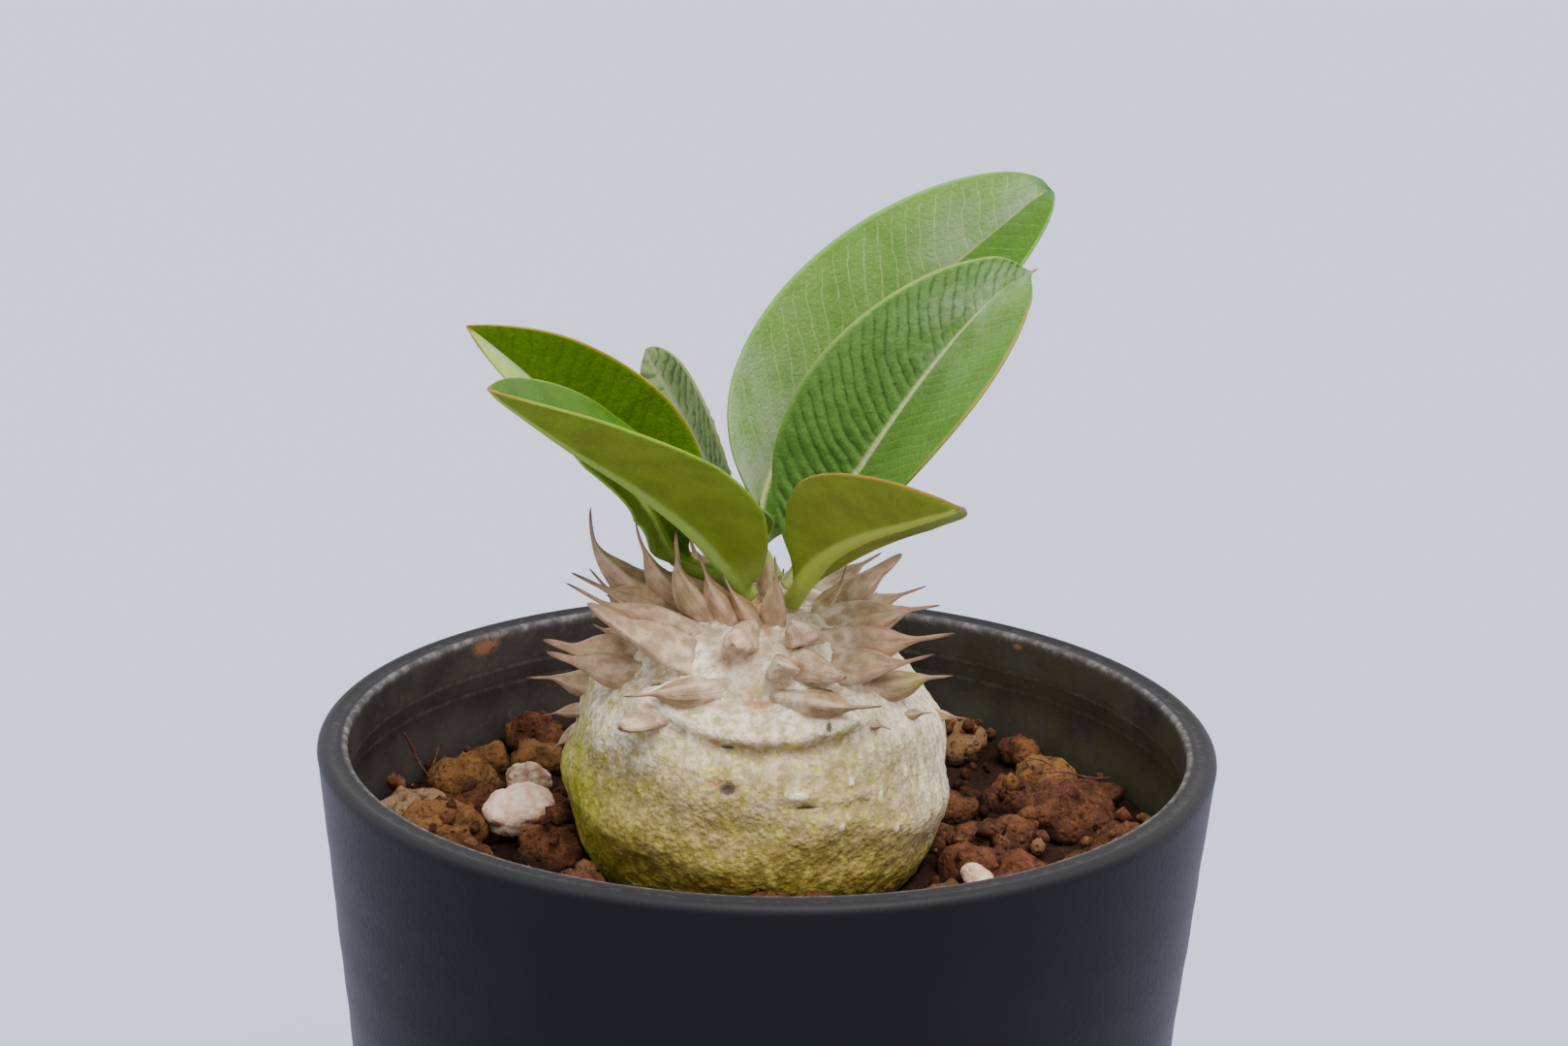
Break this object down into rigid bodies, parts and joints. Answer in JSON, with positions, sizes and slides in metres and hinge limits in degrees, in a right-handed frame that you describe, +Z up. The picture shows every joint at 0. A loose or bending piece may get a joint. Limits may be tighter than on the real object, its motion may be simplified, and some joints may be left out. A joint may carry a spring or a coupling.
{
  "type": "potted pachypodium",
  "caption": "Young pachypodium in a tapered nursery pot: a round thorny stem stands in coarse soil and bears a tuft of broad leaves.",
  "frame": {"origin": "centre of the pot's foot, on the surface that the pot stands on", "axes": "+Z up; -Y is the front of the plant, as the picture sees it; +X its right-hand side"},
  "size_m": [0.0748, 0.0748, 0.1152],
  "materials": {
    "pot": "charcoal-black moulded plastic with a soft sheen",
    "soil": "dry red-brown porous clods",
    "caudex": "grey-green corky skin, rough, with beige thorns",
    "pumice": "pale porous stone",
    "leaf_light": "light green leaf with a satin skin",
    "leaf_dark": "mid green leaf with a satin skin",
    "leaf_olive": "olive green leaf with a satin skin"
  },
  "bodies": {
    "root": {"pot": "pot", "soil": "soil", "caudex": "caudex", "pumice_large": "pumice", "pumice_small": "pumice", "pumice_front": "pumice", "leaf_tall_back": "leaf_light", "leaf_tall_front": "leaf_dark", "leaf_low_right": "leaf_olive", "leaf_upper_left": "leaf_olive", "leaf_lower_left": "leaf_olive", "leaf_small": "leaf_dark"}
  },
  "joints": []
}
